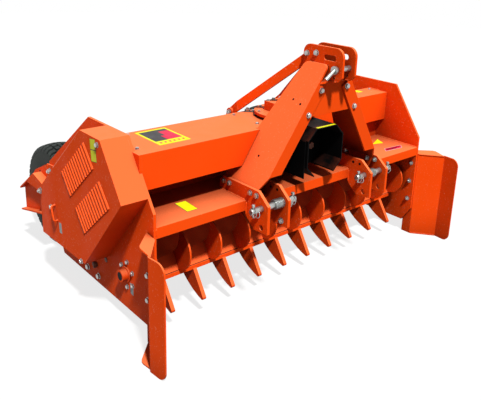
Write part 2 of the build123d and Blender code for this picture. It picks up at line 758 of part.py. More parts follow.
# Louvre panels on the guard
louvre_along = Vector(0, louvre_run, -louvre_fall).normalized()
louvre_across = Vector(0, -louvre_fall, -louvre_run).normalized()
for word, corner_y, corner_z in (
    ("upper", louvre_upper_y, louvre_upper_z),
    ("lower", louvre_lower_y, louvre_lower_z),
):
    corner = Vector(-guard_x, corner_y, corner_z)
    with BuildPart() as louvre:
        with BuildSketch(Plane(origin=corner, x_dir=louvre_along, z_dir=-louvre_across)):
            for i in range(louvre_slats):
                start = i * louvre_pitch
                outline((
                    (start, 0), (start + louvre_pitch, 0), (start + louvre_pitch, louvre_panel_t),
                    (start + louvre_nose, louvre_rise), (start, louvre_panel_t),
                ))
        extrude(amount=-louvre_len)
    save(louvre.part, f"louvre_panel_{word}")

# Handle on the guard
with BuildPart() as handle:
    with BuildLine() as handle_line:
        Polyline(
            (-guard_x, handle_y, handle_z),
            (-guard_x - handle_rise, handle_y, handle_z),
            (-guard_x - handle_rise, handle_y - handle_lean, handle_z - handle_l),
            (-guard_x, handle_y - handle_lean, handle_z - handle_l),
        )
        fillet(handle_line.vertices().group_by(Axis.X)[0], handle_round)
    with BuildSketch(Plane(origin=(-guard_x, handle_y, handle_z), z_dir=(-1, 0, 0))):
        Circle(handle_r)
    sweep()
save(handle.part, "guard_handle")

# Wings, built on the right and mirrored for the left
wing_bend_x = outer_x + wing_depth
wing_web = Vector(wing_depth, wing_bend_y - wing_root_y, 0)
wing_along = wing_web.normalized()
wing_lip_points = (
    (wing_t, -wing_t / 2),
    (wing_web.length, -wing_t / 2),
    (wing_web.length - wing_lip_cut, wing_lip_w),
    (-wing_lip_tail, wing_lip_tail_w),
)
with BuildPart() as wing:
    with BuildSketch(Plane.XY):
        folded((
            (outer_x, wing_flange_rear_y), (outer_x, wing_root_y),
            (wing_bend_x, wing_bend_y), (wing_bend_x - wing_toe_in, wing_front_y),
        ), wing_t, Side.LEFT)
    extrude(amount=wing_height)
    with BuildSketch(at_x(outer_x)) as wing_side:
        outline((
            (wing_front_y, 0), (wing_front_y, wing_height),
            (wing_flange_rear_y, wing_height), (wing_flange_rear_y, 0),
        ))
        fillet(wing_side.vertices().group_by(Axis.X)[0], wing_round)
    extrude(amount=2 * wing_depth, mode=Mode.INTERSECT)
    for z, tilt in ((wing_height - wing_t, radians(wing_lip_tilt)), (0, 0)):
        up = (sin(tilt) * wing_along.Y, -sin(tilt) * wing_along.X, cos(tilt))
        with BuildSketch(Plane((outer_x, wing_root_y, z), wing_along, up)) as lip_face:
            outline(wing_lip_points)
            fillet(lip_face.vertices().sort_by(Axis.Y)[-1], wing_lip_round)
        extrude(amount=wing_t)
save(wing.part, "wing_right")
save(wing.part.mirror(Plane.YZ), "wing_left")

# Wheel arms: a plate, a web and flanges outside of it, and a lip on the upper flange
arm_tail_y = wheel_y + arm_tail
arm_inside = ((arm_low_y, arm_low_z), (arm_tail_y, arm_rear_low_z))
arm_roof = ((arm_tail_y, arm_rear_top_z), (arm_ridge_y, arm_ridge_z), (arm_roof_y, arm_roof_z))
arm_faces = (
    (0, (
        (arm_front_y, arm_front_low_z), (arm_low_y, arm_low_z), (arm_tail_y, arm_rear_low_z),
        (arm_tail_y, arm_rear_top_z), (arm_back_y, arm_back_z),
        (arm_shoulder_y, arm_shoulder_z), (arm_front_y, arm_front_top_z),
    )),
    (arm_web_gap, arm_inside + arm_roof),
    (arm_reach - arm_t, (
        (arm_roof_y, arm_roof_z), (arm_lip_front_y, arm_lip_z),
        (arm_lip_rear_y, arm_lip_z), (arm_ridge_y, arm_ridge_z),
    )),
)
with BuildPart() as arm:
    for out, points in arm_faces:
        with BuildSketch(at_x(outer_x + out)):
            outline(points)
        extrude(amount=arm_t)
    with BuildSketch(at_x(outer_x)):
        folded(arm_inside, arm_t, Side.LEFT)
        folded(arm_roof, arm_t, Side.LEFT)
    extrude(amount=arm_reach)
save(arm.part, "wheel_arm_right")
save(arm.part.mirror(Plane.YZ), "wheel_arm_left")

# Wheels with their axles
half_w = wheel_w / 2
wheel_mid_x = wheel_outer_x - half_w
tyre_half = (
    (tyre_bead_share, tyre_bead_r),
    (1.0, tyre_bead_r + (wheel_r - tyre_bead_r) * 0.32),
    (1.0, tyre_bead_r + (wheel_r - tyre_bead_r) * 0.76),
    (0.93, wheel_r - 2 * tyre_crown),
    (0.80, wheel_r - tyre_crown),
    (0.42, wheel_r - 0.2 * tyre_crown),
)
for side, word in sides:
    axle_inner_x = wheel_outer_x - wheel_w - axle_inner_l
    axle_stop_x = wheel_outer_x + axle_outer_gap
    with BuildPart() as axle:
        with BuildSketch(at_x(side * axle_inner_x)):
            with Locations((wheel_y, wheel_r)):
                Circle(axle_r)
        extrude(amount=side * (outer_x - axle_inner_x))
        with BuildSketch(at_x(side * axle_stop_x)):
            with Locations((wheel_y, wheel_r)):
                Circle(axle_collar_r)
        extrude(amount=side * (outer_x - axle_stop_x))
    save(axle.part, f"axle_{word}")

    with BuildPart() as tyre:
        with BuildSketch(Plane.XY):
            tyre_side = [(half_w * share, wheel_y + r) for share, r in tyre_half]
            outline(
                [(side * wheel_mid_x + x, y) for x, y in tyre_side]
                + [(side * wheel_mid_x, wheel_y + wheel_r)]
                + [(side * wheel_mid_x - x, y) for x, y in reversed(tyre_side)]
            )
        revolve(axis=Axis((0, wheel_y, 0), (1, 0, 0)))
    save(tyre.part.moved(Location((0, 0, wheel_r))), f"tyre_{word}")

    with BuildPart() as rim:
        with BuildSketch(at_x(side * (wheel_mid_x - half_w * tyre_bead_share))):
            with Locations((wheel_y, wheel_r)):
                Circle(tyre_bead_r)
                Circle(tyre_bead_r - rim_t, mode=Mode.SUBTRACT)
        extrude(amount=side * 2 * half_w * tyre_bead_share)
        with BuildSketch(at_x(side * (wheel_mid_x - disc_t / 2))):
            with Locations((wheel_y, wheel_r)):
                Circle(tyre_bead_r - rim_t)
        extrude(amount=side * disc_t)
        with BuildSketch(at_x(side * (wheel_mid_x - half_w))):
            with Locations((wheel_y, wheel_r)):
                Circle(hub_r)
        extrude(amount=side * wheel_w)
        with BuildSketch(at_x(side * (wheel_mid_x - wheel_w))):
            with Locations((wheel_y, wheel_r)):
                Circle(axle_r + hub_gap)
        extrude(amount=side * 2 * wheel_w, mode=Mode.SUBTRACT)
    save(rim.part, f"rim_{word}")
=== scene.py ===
"""The looks of a tractor-mounted mulcher with a pick-up rake: paint, wear, bolts, tread, labels and light."""
import json
import math

import bmesh
import bpy
from mathutils import Matrix, Vector


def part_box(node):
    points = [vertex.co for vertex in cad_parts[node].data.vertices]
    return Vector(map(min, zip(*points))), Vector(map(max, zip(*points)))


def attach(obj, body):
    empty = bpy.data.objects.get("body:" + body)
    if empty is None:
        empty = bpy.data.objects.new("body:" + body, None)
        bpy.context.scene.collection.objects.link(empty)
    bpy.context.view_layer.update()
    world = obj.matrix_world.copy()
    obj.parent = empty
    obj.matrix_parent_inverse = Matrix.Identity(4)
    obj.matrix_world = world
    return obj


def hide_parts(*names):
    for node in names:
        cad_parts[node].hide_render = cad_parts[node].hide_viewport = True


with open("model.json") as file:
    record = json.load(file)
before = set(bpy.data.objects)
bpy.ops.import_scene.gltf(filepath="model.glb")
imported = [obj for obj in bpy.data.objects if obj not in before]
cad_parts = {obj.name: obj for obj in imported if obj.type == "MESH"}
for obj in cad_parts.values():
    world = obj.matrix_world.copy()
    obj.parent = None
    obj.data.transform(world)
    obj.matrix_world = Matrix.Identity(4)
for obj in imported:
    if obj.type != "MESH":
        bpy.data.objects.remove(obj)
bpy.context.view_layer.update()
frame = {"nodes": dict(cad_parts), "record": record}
nodes = frame["nodes"]


# Colours as linear values

def srgb(r, g, b):
    """A colour from 0 to 255 as the linear colour that a shader takes."""
    def one(v):
        v /= 255
        return v / 12.92 if v <= 0.04045 else ((v + 0.055) / 1.055) ** 2.4
    return (one(r), one(g), one(b), 1.0)


ORANGE = srgb(248, 76, 10)
ORANGE_FADED = srgb(248, 86, 20)
# Painted sheen for the faces of the paint that look up
PAINT_TOP_SHEEN = srgb(252, 130, 78)
SPECKS = srgb(255, 160, 124)
BARE_EDGE = srgb(255, 170, 120)
# Painted shade for the paint's corners and hollows
SHADE_IN_PAINT = srgb(96, 24, 8)
DUST = srgb(176, 142, 112)
BLACK_PLASTIC = srgb(8, 8, 9)
PLASTIC_DUST = srgb(70, 64, 58)
# Brown stains for the plastic's upper faces, with a painted orange reflection in them
PLASTIC_STAIN_AND_REFLECTION = srgb(140, 62, 38)
# Painted shade for the plastic's hollows
SHADE_IN_PLASTIC = srgb(5, 5, 5)
ZINC = srgb(182, 186, 184)
ZINC_DULL = srgb(158, 157, 150)
# Painted shade for the zinc's corners
SHADE_IN_ZINC = srgb(44, 38, 33)
STEEL = srgb(96, 40, 18)
STEEL_RUST = srgb(74, 42, 26)
STEEL_WORN = srgb(70, 66, 62)
RUBBER_DARK = srgb(30, 35, 33)
RUBBER_PALE = srgb(72, 79, 74)
# Painted shade for the tyre's grooves
SHADE_IN_RUBBER = srgb(4, 5, 5)
RIM = srgb(30, 30, 31)
RIM_FADED = srgb(58, 56, 52)
FLOOR_LOW = srgb(112, 112, 111)
FLOOR_HIGH = srgb(120, 120, 119)


# Materials

def colour_of(node):
    """The output of a node that carries its colour."""
    return node.outputs[2 if node.bl_idname == "ShaderNodeMix" else 0]


class Shader:
    """Builds one node material, a node at a time."""

    def __init__(self, name):
        self.mat = bpy.data.materials.new(name)
        self.mat.use_nodes = True
        self.tree = self.mat.node_tree
        self.tree.nodes.clear()
        self.out = self.add("ShaderNodeOutputMaterial")
        self.bsdf = self.add("ShaderNodeBsdfPrincipled")
        self.link(self.bsdf, "BSDF", self.out, "Surface")

    def add(self, kind):
        return self.tree.nodes.new(kind)

    def link(self, a, out, b, into):
        self.tree.links.new(a.outputs[out], b.inputs[into])

    def noise(self, scale, detail, rough, stretch=None):
        """A noise in the object's own metres, stretched by a scale per axis if given."""
        place = self.add("ShaderNodeTexCoord")
        node = self.add("ShaderNodeTexNoise")
        node.inputs["Scale"].default_value = scale
        node.inputs["Detail"].default_value = detail
        node.inputs["Roughness"].default_value = rough
        if stretch:
            mapping = self.add("ShaderNodeMapping")
            mapping.inputs["Scale"].default_value = stretch
            self.link(place, "Object", mapping, "Vector")
            self.link(mapping, "Vector", node, "Vector")
        else:
            self.link(place, "Object", node, "Vector")
        return node

    def ramp(self, source, out, *stops):
        """A ramp of (place, grey) stops."""
        node = self.add("ShaderNodeValToRGB")
        ramp = node.color_ramp
        while len(ramp.elements) < len(stops):
            ramp.elements.new(0.5)
        for element, (place, grey) in zip(ramp.elements, stops):
            element.position = place
            element.color = (grey, grey, grey, 1)
        self.link(source, out, node, "Fac")
        return node

    def product(self, one, other):
        """A mask multiplied by another mask or by a number."""
        node = self.add("ShaderNodeMath")
        node.operation = "MULTIPLY"
        self.link(one, 0, node, 0)
        if isinstance(other, float):
            node.inputs[1].default_value = other
        else:
            self.link(other, 0, node, 1)
        return node

    def mix(self, low, high, mask, strength=1.0):
        """A mix of two colours, or of nodes' colours, by a mask."""
        node = self.add("ShaderNodeMix")
        node.data_type = "RGBA"
        factor, first, second = node.inputs[0], node.inputs[6], node.inputs[7]
        for value, slot in ((low, first), (high, second)):
            if isinstance(value, tuple):
                slot.default_value = value
            else:
                self.tree.links.new(colour_of(value), slot)
        scaled = mask if strength == 1.0 else self.product(mask, strength)
        self.tree.links.new(scaled.outputs[0], factor)
        return node

    def base(self, source):
        self.tree.links.new(colour_of(source), self.bsdf.inputs["Base Color"])

    def roughness(self, source):
        self.link(source, 0, self.bsdf, "Roughness")

    def specular(self, level):
        self.bsdf.inputs["Specular IOR Level"].default_value = level

    def bump(self, source, strength, distance, normal=None):
        node = self.add("ShaderNodeBump")
        node.inputs["Strength"].default_value = strength
        node.inputs["Distance"].default_value = distance
        self.link(source, 0, node, "Height")
        if normal:
            self.link(normal, "Normal", node, "Normal")
        self.link(node, "Normal", self.bsdf, "Normal")

    def facing(self):
        """The direction of a face, split into its three parts."""
        geometry = self.add("ShaderNodeNewGeometry")
        split = self.add("ShaderNodeSeparateXYZ")
        self.link(geometry, "Normal", split, "Vector")
        return split

    def edge_mask(self, radius, low, high):
        """A mask of outer edges: where a rounded normal turns away from the face's own."""
        bevel = self.add("ShaderNodeBevel")
        bevel.samples = 4
        bevel.inputs["Radius"].default_value = radius
        own = self.add("ShaderNodeNewGeometry")
        dot = self.add("ShaderNodeVectorMath")
        dot.operation = "DOT_PRODUCT"
        self.link(bevel, "Normal", dot, 0)
        self.link(own, "Normal", dot, 1)
        return bevel, self.ramp(dot, "Value", (low, 1.0), (high, 0.0))


def low_dust(shader, colour, amount):
    """Pale dust in patches, thicker low down on the machine."""
    place = shader.add("ShaderNodeTexCoord")
    split = shader.add("ShaderNodeSeparateXYZ")
    shader.link(place, "Object", split, "Vector")
    height = shader.ramp(split, "Z", (0.0, 1.0), (0.45, 0.25), (0.95, 0.08))
    patches = shader.ramp(shader.noise(7.0, 6.0, 0.62), "Fac", (0.42, 0.0), (0.72, 1.0))
    return shader.mix(colour, DUST, shader.product(patches, height), amount)


def painted_top_sheen(shader, colour, top_sheen, amount):
    """Painted light on faces that look up: they are mixed toward another colour by how far they face the sky."""
    tops = shader.ramp(shader.facing(), "Z", (0.20, 0.0), (0.85, 1.0))
    return shader.mix(colour, top_sheen, tops, amount)


def side_faces(shader):
    """A mask of the upright faces that look along the machine's length."""
    across = shader.add("ShaderNodeMath")
    across.operation = "ABSOLUTE"
    shader.link(shader.facing(), "X", across, 0)
    return shader.ramp(across, "Value", (0.7, 0.0), (0.9, 1.0))


def painted_hollow_shade(shader, colour, shade_colour, reach, amount):
    """Painted shade: corners and hollows are darkened by how much of the open they see."""
    seen = shader.add("ShaderNodeAmbientOcclusion")
    seen.samples = 8
    seen.inputs["Distance"].default_value = reach
    hidden = shader.ramp(seen, "AO", (0.22, 1.0), (0.72, 0.0))
    return shader.mix(colour, shade_colour, hidden, amount)


def paint(name, colour, faded, rough, wear, dust, top_sheen=None):
    """Powder-coated sheet: a light orange peel, tonal drift, dust low down and pale worn edges; given a top sheen,
    also fine specks on the side faces, a painted sheen on faces that look up and painted shade in corners.
    """
    shader = Shader(name)
    drift = shader.noise(2.2, 3.0, 0.5)
    tone = shader.mix(colour, faded, shader.ramp(drift, "Fac", (0.35, 0.0), (0.75, 1.0)), 0.35)
    streaks = shader.noise(9.0, 5.0, 0.6, (1.0, 1.0, 0.12))
    tone = shader.mix(tone, faded, shader.ramp(streaks, "Fac", (0.52, 0.0), (0.8, 1.0)), 0.22)
    tone = low_dust(shader, tone, dust)
    if top_sheen:
        specks = shader.ramp(shader.noise(140.0, 1.0, 0.4), "Fac", (0.675, 0.0), (0.70, 1.0))
        tone = shader.mix(tone, SPECKS, shader.product(specks, side_faces(shader)), 0.42)
        # Painted sheen: faces that look up are made paler
        tone = painted_top_sheen(shader, tone, top_sheen, 0.8)
        # Painted shade: corners and hollows are darkened
        tone = painted_hollow_shade(shader, tone, SHADE_IN_PAINT, 0.30, 0.8)
    bevel, edges = shader.edge_mask(0.0016, 0.86, 0.985)
    broken = shader.ramp(shader.noise(60.0, 5.0, 0.6), "Fac", (0.45, 0.0), (0.6, 1.0))
    shader.base(shader.mix(tone, BARE_EDGE, shader.product(edges, broken), wear))
    shader.roughness(shader.ramp(streaks, "Fac", (0.3, rough - 0.05), (0.75, rough + 0.16)))
    shader.bump(shader.noise(420.0, 2.0, 0.5), 0.10, 0.0006, bevel)
    shader.specular(0.03)
    return shader.mat


def worn_steel(name):
    """Worked steel with remains of paint and a film of rust."""
    shader = Shader(name)
    blotch = shader.noise(16.0, 7.0, 0.65)
    rusty = shader.mix(STEEL, STEEL_RUST, shader.ramp(blotch, "Fac", (0.42, 0.0), (0.62, 1.0)), 0.8)
    fine = shader.noise(90.0, 4.0, 0.6)
    shader.base(shader.mix(rusty, STEEL_WORN, shader.ramp(fine, "Fac", (0.55, 0.0), (0.7, 1.0)), 0.5))
    shader.roughness(shader.ramp(blotch, "Fac", (0.3, 0.45), (0.7, 0.8)))
    shader.bsdf.inputs["Metallic"].default_value = 0.35
    shader.bump(fine, 0.35, 0.0012)
    return shader.mat


def zinc(name):
    """Plated steel: a faint yellow-grey drift, fine scratches and painted shade in its corners."""
    shader = Shader(name)
    drift = shader.noise(35.0, 4.0, 0.6)
    tint = shader.mix(ZINC, ZINC_DULL, shader.ramp(drift, "Fac", (0.35, 0.0), (0.7, 1.0)), 0.7)
    # Painted shade darkens the corners
    shader.base(painted_hollow_shade(shader, tint, SHADE_IN_ZINC, 0.022, 0.85))
    scratch = shader.noise(260.0, 3.0, 0.5, (1.0, 0.08, 1.0))
    shader.roughness(shader.ramp(scratch, "Fac", (0.3, 0.18), (0.7, 0.42)))
    shader.bsdf.inputs["Metallic"].default_value = 0.85
    shader.bump(scratch, 0.12, 0.0003)
    return shader.mat


def plastic(name):
    """Moulded black plastic with a fine grain, a little dust, brown stains with a painted orange reflection on its
    upper faces and painted shade in its hollows.
    """
    shader = Shader(name)
    drift = shader.noise(6.0, 4.0, 0.6)
    tone = shader.mix(BLACK_PLASTIC, PLASTIC_DUST, shader.ramp(drift, "Fac", (0.5, 0.0), (0.8, 1.0)), 0.06)
    patches = shader.ramp(shader.noise(9.0, 5.0, 0.6), "Fac", (0.40, 0.0), (0.62, 1.0))
    # Brown stains with a painted orange reflection on the upper faces
    tone = painted_top_sheen(shader, tone, shader.mix(BLACK_PLASTIC, PLASTIC_STAIN_AND_REFLECTION, patches), 0.62)
    # Painted shade darkens the hollows
    shader.base(painted_hollow_shade(shader, tone, SHADE_IN_PLASTIC, 0.32, 1.0))
    shader.specular(0.04)
    shader.roughness(shader.ramp(drift, "Fac", (0.3, 0.45), (0.8, 0.65)))
    shader.bump(shader.noise(300.0, 3.0, 0.6), 0.18, 0.0006)
    return shader.mat


def rubber(name):
    """Tyre rubber: dark grey-green, dusty and matte, with painted shade in its grooves."""
    shader = Shader(name)
    drift = shader.noise(12.0, 5.0, 0.65)
    tone = shader.mix(RUBBER_DARK, RUBBER_PALE, shader.ramp(drift, "Fac", (0.42, 0.0), (0.75, 1.0)), 0.55)
    # Painted shade darkens the grooves
    shader.base(painted_hollow_shade(shader, tone, SHADE_IN_RUBBER, 0.035, 1.0))
    shader.roughness(shader.ramp(drift, "Fac", (0.3, 0.62), (0.75, 0.88)))
    shader.bump(shader.noise(220.0, 4.0, 0.6), 0.3, 0.0009)
    shader.specular(0.25)
    return shader.mat


def label(name, colour):
    """A printed foil: an even colour, a little drift and a fine grain."""
    shader = Shader(name)
    drift = shader.noise(30.0, 3.0, 0.5)
    dim = tuple(c * 0.86 for c in colour[:3]) + (1.0,)
    shader.base(shader.mix(colour, dim, shader.ramp(drift, "Fac", (0.4, 0.0), (0.7, 1.0)), 0.5))
    shader.roughness(shader.ramp(drift, "Fac", (0.3, 0.38), (0.7, 0.5)))
    shader.bump(shader.noise(500.0, 2.0, 0.5), 0.05, 0.0002)
    shader.specular(0.12)
    return shader.mat


MATS = {
    "orange_paint": paint("orange_paint", ORANGE, ORANGE_FADED, 0.48, 0.5, 0.03, PAINT_TOP_SHEEN),
    "shield_plastic": plastic("shield_plastic"),
    "zinc": zinc("zinc"),
    "dark_steel": worn_steel("dark_steel"),
    "tyre": rubber("tyre"),
    "rim_steel": paint("rim_steel", RIM, RIM_FADED, 0.42, 0.25, 0.4),
}
YELLOW = label("label_yellow", srgb(226, 226, 22))
# A painted highlight for the fold along the belt guard's rear edge
FOLD_HIGHLIGHT = label("painted_fold_highlight", srgb(255, 140, 104))
GREY = label("label_grey", srgb(158, 172, 174))
CHARCOAL = label("label_charcoal", srgb(62, 60, 62))
ROSE = label("label_rose", srgb(214, 34, 72))

slot_of = {row["node"]: row["material_slot"] for row in frame["record"]["subparts"]}
for name, obj in nodes.items():
    for slot in obj.material_slots:
        slot.material = MATS[slot_of[name]]


# Camera, at the photograph's viewpoint: its view in pixels, its place in metres
photo_w, photo_h = 481, 400
focal_px = 609.52
centre_x, centre_y = 257.5, 136.0
sensor_mm = 36.0
camera_place = (-2.0205, -2.4779, 1.5926)

right = Vector((0.7524, -0.6578, 0.0334)).normalized()
forward = Vector((0.6365, 0.7131, -0.2939)).normalized()
up = right.cross(forward)
right = forward.cross(up)
camera_data = bpy.data.cameras.new("camera")
camera_data.sensor_fit = "HORIZONTAL"
camera_data.sensor_width = sensor_mm
camera_data.lens = focal_px / photo_w * sensor_mm
camera_data.shift_x = (photo_w / 2 - centre_x) / photo_w
camera_data.shift_y = (centre_y - photo_h / 2) / photo_w
camera_data.clip_end = 60.0
camera = bpy.data.objects.new("camera", camera_data)
bpy.context.scene.collection.objects.link(camera)
aim = Matrix((right, up, -forward)).transposed().to_4x4()
camera.matrix_world = Matrix.Translation(camera_place) @ aim
bpy.context.scene.camera = camera


# Building blocks: places and sizes are in millimetres, and meshes are made in metres

MM = 0.001


def piece(name, bm, slot, body="frame", mat=None, bevel=0.0):
    """One mesh object that rides on a body and takes its finish from a slot."""
    bmesh.ops.recalc_face_normals(bm, faces=bm.faces)
    mesh = bpy.data.meshes.new(name)
    bm.to_mesh(mesh)
    bm.free()
    mesh.materials.append(mat or MATS[slot])
    obj = bpy.data.objects.new(name, mesh)
    bpy.context.scene.collection.objects.link(obj)
    if bevel:
        soft = obj.modifiers.new("soft_edges", "BEVEL")
        soft.width = bevel * MM
        soft.segments = 2
        soft.limit_method = "ANGLE"
    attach(obj, body)
    return obj


def basis(place, axis, spin=0.0):
    """A matrix at a place whose Z runs along an axis."""
    z = Vector(axis).normalized()
    upright = abs(z.z) >= 0.999
    x = Vector((1, 0, 0)) if upright else Vector((0, 0, 1)).cross(z).normalized()
    m = Matrix((x, z.cross(x), z)).transposed().to_4x4()
    m.translation = Vector(place) * MM
    return m @ Matrix.Rotation(spin, 4, "Z")


def around(angle, r):
    """The two parts of a step of length r at an angle."""
    return r * math.cos(angle), r * math.sin(angle)


def ring(bm, m, r, height, n):
    """A ring of corners round the axis of a matrix."""
    corners = [around(2 * math.pi * i / n, r * MM) for i in range(n)]
    return [bm.verts.new(m @ Vector((x, y, height * MM))) for x, y in corners]


def loft(bm, rings):
    """Closes rings of corners into a solid with a cap at each end."""
    n = len(rings[0])
    for low, high in zip(rings, rings[1:]):
        for i in range(n):
            j = (i + 1) % n
            bm.faces.new((low[i], low[j], high[j], high[i]))
    bm.faces.new(rings[0][::-1])
    bm.faces.new(rings[-1])


def turned(bm, place, axis, n, *profile):
    """A closed solid of revolution: profile points are (height, radius)."""
    m = basis(place, axis)
    loft(bm, [ring(bm, m, r, height, n) for height, r in profile])


def slab(bm, corners, normal, thick):
    """A thin plate through a loop of corners, raised along a normal."""
    rise = Vector(normal).normalized() * thick * MM
    low = [bm.verts.new(Vector(c) * MM) for c in corners]
    high = [bm.verts.new(Vector(c) * MM + rise) for c in corners]
    n = len(corners)
    bm.faces.new(low[::-1])
    bm.faces.new(high)
    for i in range(n):
        j = (i + 1) % n
        bm.faces.new((low[i], low[j], high[j], high[i]))


def rod(bm, points, r, n):
    """A round bar along a line of points."""
    points = [Vector(q) * MM for q in points]
    rings = []
    for i, q in enumerate(points):
        m = basis((0, 0, 0), points[min(i + 1, len(points) - 1)] - points[max(i - 1, 0)])
        m.translation = q
        rings.append(ring(bm, m, r, 0, n))
    loft(bm, rings)


def bolt(bm, place, axis, size=12.0, nut=False):
    """A hexagon head on a washer, at a spin of its own that is the same each run; a nut shows its stub."""
    sixth = 1.047         # of a turn, in radians
    spin = (abs(place[0]) * 0.37 + abs(place[1]) * 0.61 + abs(place[2]) * 0.83) % sixth
    m = basis(place, axis, spin)
    washer, head_r = size * 0.17, size * 0.92
    top = washer + size * 0.66

    def part(n, *profile):
        loft(bm, [ring(bm, m, r, height, n) for height, r in profile])

    part(20, (-0.6, size * 1.06), (washer * 0.7, size * 1.06), (washer, size * 0.98))
    part(6, (washer, head_r * 0.95), (washer + 0.8, head_r), (top - size * 0.12, head_r), (top, head_r * 0.84))
    if nut:
        part(12, (top - 1, size * 0.5), (top + size * 0.32, size * 0.5), (top + size * 0.42, size * 0.42))
    else:
        part(12, (top - 0.4, head_r * 0.66), (top + 0.25, head_r * 0.64))


def weld(bm, start, end, lift, r=3.2, pitch=5.0):
    """A rippled bead from one place to another, lifted off the corner it lies in."""
    first, run = Vector(start), Vector(end) - Vector(start)
    side = Vector(lift).normalized()
    count = max(4, int(run.length / pitch))
    rings = []
    for i in range(count + 1):
        swell = 1.0 + 0.16 * math.sin(i * 2.4) + 0.10 * math.sin(i * 0.73 + run.length)
        if i in (0, count):
            swell *= 0.45
        rings.append(ring(bm, basis(first + run * (i / count) + side * 0.3, run), r * swell, 0, 6))
    loft(bm, rings)


def smooth(obj):
    """Shades a mesh as one rounded surface."""
    for face in obj.data.polygons:
        face.use_smooth = True


# Places that several details share, in millimetres: x on the right side, but for the guard, which is on the left

plate_x, plate_inner_x = 880, 868         # the side plates' outer and inner faces
guard_x = -996                            # the belt guard's outer face
hood_z, beam_z = 814, 539                 # the tops of the hood and of the front beam
rear_y = 208                              # the rear wall
arm_x = 888                               # the wheel arms' inner brackets
link_y, link_z = -715, 535                # the lower hitch pins
spare_z = 446                             # the spare holes below them
ear_xs, ear_half = (281, 401), 7.5        # the lower hitch ears, and half their thickness
ear_row_y, ear_row_z = (-456, -496, -638, -680), 583
top_ear_x, top_ear_half = 41, 6
rotor_y, rotor_z = -60, 345
gearbox_y, drive_z = -409, 710
rake_y, rake_z = -388, 241
tooth_pitch = 166.5

LEFT, RIGHT, FRONT, BACK, UP = (-1, 0, 0), (1, 0, 0), (0, -1, 0), (0, 1, 0), (0, 0, 1)
sides = ((-1, "left"), (1, "right"))


# Bolts, as (place, axis, size, nut)
bolts = []


def add_bolts(places, axis, size=12.0, nut=False):
    """Bolts, or nuts on their studs, that look the same way."""
    bolts.extend((place, axis, size, nut) for place in places)


def bolt_circle(count, r, first=0.0):
    """Steps from the middle of a circle of bolts to each of them, the first at an angle in degrees."""
    return [around(math.radians(360 / count * k + first), r) for k in range(count)]


add_bolts([(guard_x, y, z) for y, z in ((-403, 848), (-206, 263), (86, 418))], LEFT, 11)
add_bolts([(-plate_x, y, z) for y, z in ((-20, 114), (-127, 112))], LEFT, 14)
for side in (-1, 1):
    out, back = (side, 0, 0), (-side, 0, 0)
    # wing, flange of the rake, bearing of the rotor and wheel arm
    add_bolts([(side * 886, -573, z) for z in (432, 320, 206)], out)
    add_bolts([(side * plate_inner_x, -585, z) for z in (438, 328, 218)], back, nut=True)
    add_bolts([(side * plate_x, y, z) for y, z in (
        (-399, 302), (-350, 270), (-441, 267), (-341, 210), (-396, 183), (-441, 207),
    )], out, 10)
    add_bolts([(side * 894, rotor_y + y, rotor_z + z) for y, z in bolt_circle(4, 73, 45)], out, 11)
    add_bolts([(side * arm_x, 342, 491), (side * 932, 365, 391)], out, 15, True)
    # lower ears
    add_bolts([(side * 408.5, y, ear_row_z) for y in ear_row_y], out)
    add_bolts([(side * 383.5, y, ear_row_z) for y in ear_row_y[:3]], back, nut=True)
    add_bolts([(side * 393.5, ear_row_y[3], ear_row_z)], back, nut=True)
    # cross plate, top ears and lugs of the braces
    add_bolts([(side * 85, -718, 1010), (side * 152, -712, 907)], (0, -1, 0.06))
    add_bolts([(side * 47, -583, 1152), (side * 47, -639, 1161)], out, 13)
    add_bolts([(side * 25, -583, 1152)], back, 13, True)
    add_bolts([(side * 160, -175, 804)], out, 13)
    add_bolts([(side * 140, -175, 804)], back, 13, True)
add_bolts([(x, y, hood_z) for x, y in (
    (-845, -445), (-784, -262), (-208, -442), (-201, -262), (702, -257), (836, -262),
)], UP, 9)
# gearbox, its seat and its front
add_bolts([(x, gearbox_y + y, 842) for x, y in bolt_circle(8, 134, 22)], UP, 8)
add_bolts([(x, y, 887) for x in (-64, 64) for y in (-462, -356)], UP, 9)
add_bolts([(x, -519, drive_z + z) for x, z in bolt_circle(6, 50)], FRONT, 7)
add_bolts([(x, -400, 606) for x in (-150, 150)], UP, 11)
add_bolts([(x, -349, 887) for x in (-24, 24)], UP, 10)
add_bolts([(-97, -240, hood_z)], UP, 15, True)
add_bolts([(-76, -262, hood_z)], UP, 11)
bm = bmesh.new()
for row in bolts:
    bolt(bm, *row)
piece("bolts", bm, "zinc")


# Wheels: nuts and a valve on each rim
def middle(node):
    """The middle of a CAD node's box, in millimetres."""
    low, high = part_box(node)
    return [(low[i] + high[i]) / 2 / MM for i in range(3)]


for side, word in sides:
    x, y, z = middle("rim_" + word)
    bm = bmesh.new()
    for face in (-1, 1):
        for dy, dz in bolt_circle(5, 72, 18):
            bolt(bm, (x + face * 5, y + dy, z + dz), (face, 0, 0), 11, True)
    piece("wheel_nuts_" + word, bm, "zinc", "wheel_" + word)
    bm = bmesh.new()
    turned(bm, (x + side * 4, y, z + 98), (side, 0, 0.25), 12,
           (0, 4.0), (14, 3.6), (15, 2.8), (32, 2.8), (33, 3.6), (41, 3.6), (42, 3.0))
    piece("valve_" + word, bm, "shield_plastic", "wheel_" + word)


# Tyres: lathed with ribs, shoulder blocks and rings on the side walls
PLAIN, SHOULDER, RIB, MIDDLE = range(4)


